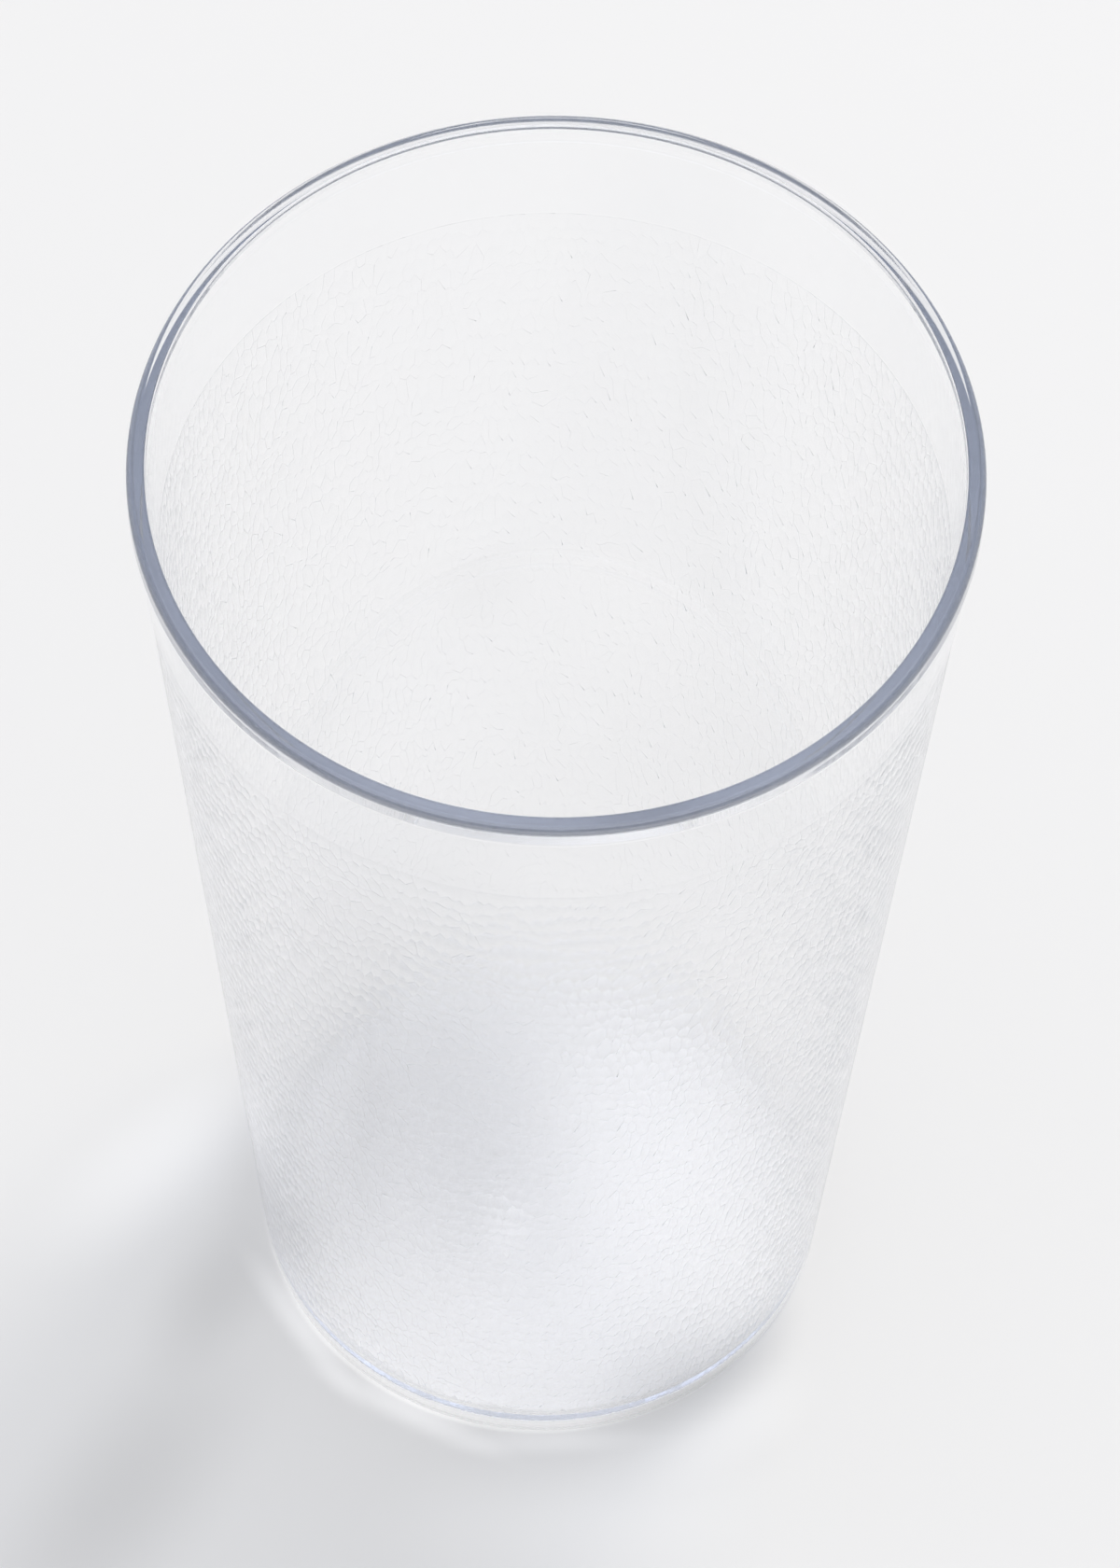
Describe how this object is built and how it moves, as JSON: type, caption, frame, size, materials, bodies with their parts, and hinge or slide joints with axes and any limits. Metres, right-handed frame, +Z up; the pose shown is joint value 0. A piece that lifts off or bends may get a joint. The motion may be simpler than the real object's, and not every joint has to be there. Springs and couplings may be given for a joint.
{
  "type": "plastic tumbler cup",
  "caption": "Clear tapered drinking tumbler with a rounded rim bead, a smooth band below it and a finely pebbled outer wall, open at the top.",
  "frame": {"origin": "middle of the foot, on the surface that the cup stands on", "axes": "+Z up along the cup's axis, towards the open rim; the cup is round, so X and Y are free"},
  "size_m": [0.0872, 0.0872, 0.151],
  "materials": {
    "clear_plastic": "clear, glossy, with a fine raised pebble texture on the outer wall below the rim band"
  },
  "bodies": {
    "root": {"tumbler": "clear_plastic"}
  },
  "joints": []
}
